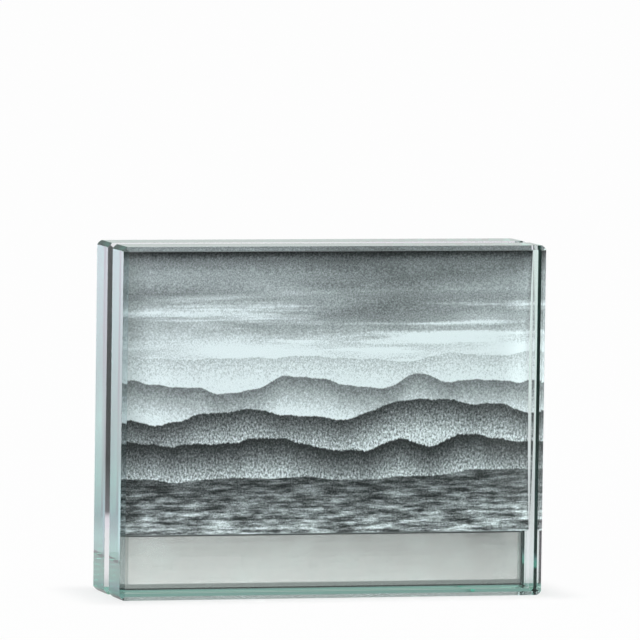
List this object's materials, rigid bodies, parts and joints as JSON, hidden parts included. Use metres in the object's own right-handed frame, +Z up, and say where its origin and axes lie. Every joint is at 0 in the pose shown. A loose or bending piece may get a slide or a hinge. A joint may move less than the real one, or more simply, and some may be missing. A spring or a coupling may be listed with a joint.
{
  "type": "glass picture frame",
  "caption": "Free-standing block frame of thick chamfered glass panes bonded to a metal spacer bar, with a paper print that lifts out of the open slot.",
  "frame": {"origin": "middle of the underside, on the surface that the glass stands on", "axes": "+X across the picture to the viewer's right, +Y from the front of the frame to its back, +Z up"},
  "size_m": [0.1574, 0.042, 0.1269],
  "materials": {
    "clear_glass": "polished clear float glass, faintly green",
    "bright_metal": "bright polished",
    "clear_adhesive": "clear cured adhesive",
    "photo_paper": "resin-coated photo paper with a black and white print"
  },
  "bodies": {
    "glass_block": {"front_pane": "clear_glass", "rear_pane": "clear_glass", "spacer_bar": "bright_metal", "front_bond": "clear_adhesive", "rear_bond": "clear_adhesive"},
    "print": {"photo_print": "photo_paper"}
  },
  "joints": [
    {"name": "print_lift", "type": "slide", "parent": "glass_block", "child": "print", "axis": [0, 0, 1], "range_m": [0, 0.105]}
  ]
}
